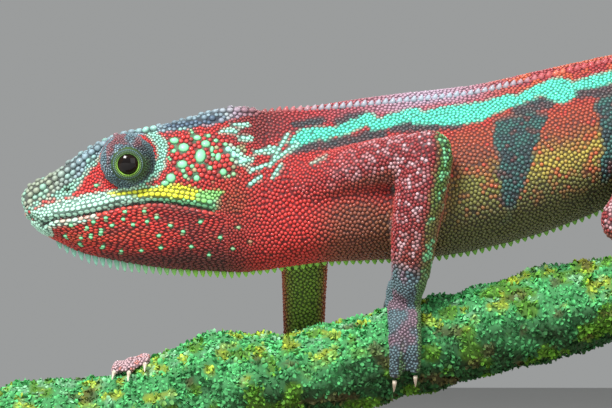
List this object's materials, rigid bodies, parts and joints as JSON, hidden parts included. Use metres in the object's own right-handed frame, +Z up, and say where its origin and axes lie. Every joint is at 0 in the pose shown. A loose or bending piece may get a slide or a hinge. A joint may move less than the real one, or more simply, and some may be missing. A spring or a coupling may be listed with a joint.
{
  "type": "panther chameleon",
  "caption": "Life-size panther chameleon walking down a cut length of mossy branch with its tail coiled, held on a flat stand by rods.",
  "frame": {"origin": "middle of the stand base's underside", "axes": "+Z up, the animal faces -X and its left side is -Y"},
  "size_m": [0.2239, 0.092, 0.1263],
  "materials": {
    "head_skin": "matt scaly skin: red and blue-grey with mint plates",
    "throat_skin": "matt red scaly skin with mint tubercles",
    "eyelid_skin": "finely granular blue-grey lid with maroon patches",
    "eye_gloss": "wet gloss, black",
    "body_skin": "granular skin, red and olive with a turquoise side stripe",
    "leg_skin": "granular skin, red in front and green behind",
    "tail_skin": "granular skin, banded green and red-brown",
    "claw_horn": "smooth pale horn",
    "branch_moss": "branch covered with short green moss",
    "stand_wood": "dark stained, satin",
    "rod_steel": "plain steel rod"
  },
  "bodies": {
    "root": {"belly": "body_skin", "chest": "body_skin", "claw_front_left_1": "claw_horn", "claw_front_left_2": "claw_horn", "claw_front_left_3": "claw_horn", "claw_front_left_4": "claw_horn", "claw_front_left_5": "claw_horn", "claw_front_right_1": "claw_horn", "claw_front_right_2": "claw_horn", "claw_front_right_3": "claw_horn", "claw_front_right_4": "claw_horn", "claw_front_right_5": "claw_horn", "claw_hind_left_1": "claw_horn", "claw_hind_left_2": "claw_horn", "claw_hind_left_3": "claw_horn", "claw_hind_left_4": "claw_horn", "claw_hind_left_5": "claw_horn", "claw_hind_right_1": "claw_horn", "claw_hind_right_2": "claw_horn", "claw_hind_right_3": "claw_horn", "claw_hind_right_4": "claw_horn", "claw_hind_right_5": "claw_horn", "eye_left": "eye_gloss", "eye_right": "eye_gloss", "eyelid_left": "eyelid_skin", "eyelid_right": "eyelid_skin", "foot_hind_left": "leg_skin", "foot_hind_right": "leg_skin", "forearm_front_left": "leg_skin", "forearm_front_right": "leg_skin", "hand_front_left": "leg_skin", "hand_front_right": "leg_skin", "head": "head_skin", "jaw": "throat_skin", "neck": "body_skin", "pelvis": "body_skin", "perch": "branch_moss", "shank_hind_left": "leg_skin", "shank_hind_right": "leg_skin", "stand_base": "stand_wood", "stand_rod_front": "rod_steel", "stand_rod_rear": "rod_steel", "tail_1": "tail_skin", "tail_2": "tail_skin", "tail_3": "tail_skin", "tail_4": "tail_skin", "tail_5": "tail_skin", "tail_6": "tail_skin", "thigh_hind_left": "leg_skin", "thigh_hind_right": "leg_skin", "upper_arm_front_left": "leg_skin", "upper_arm_front_right": "leg_skin"}
  },
  "joints": []
}
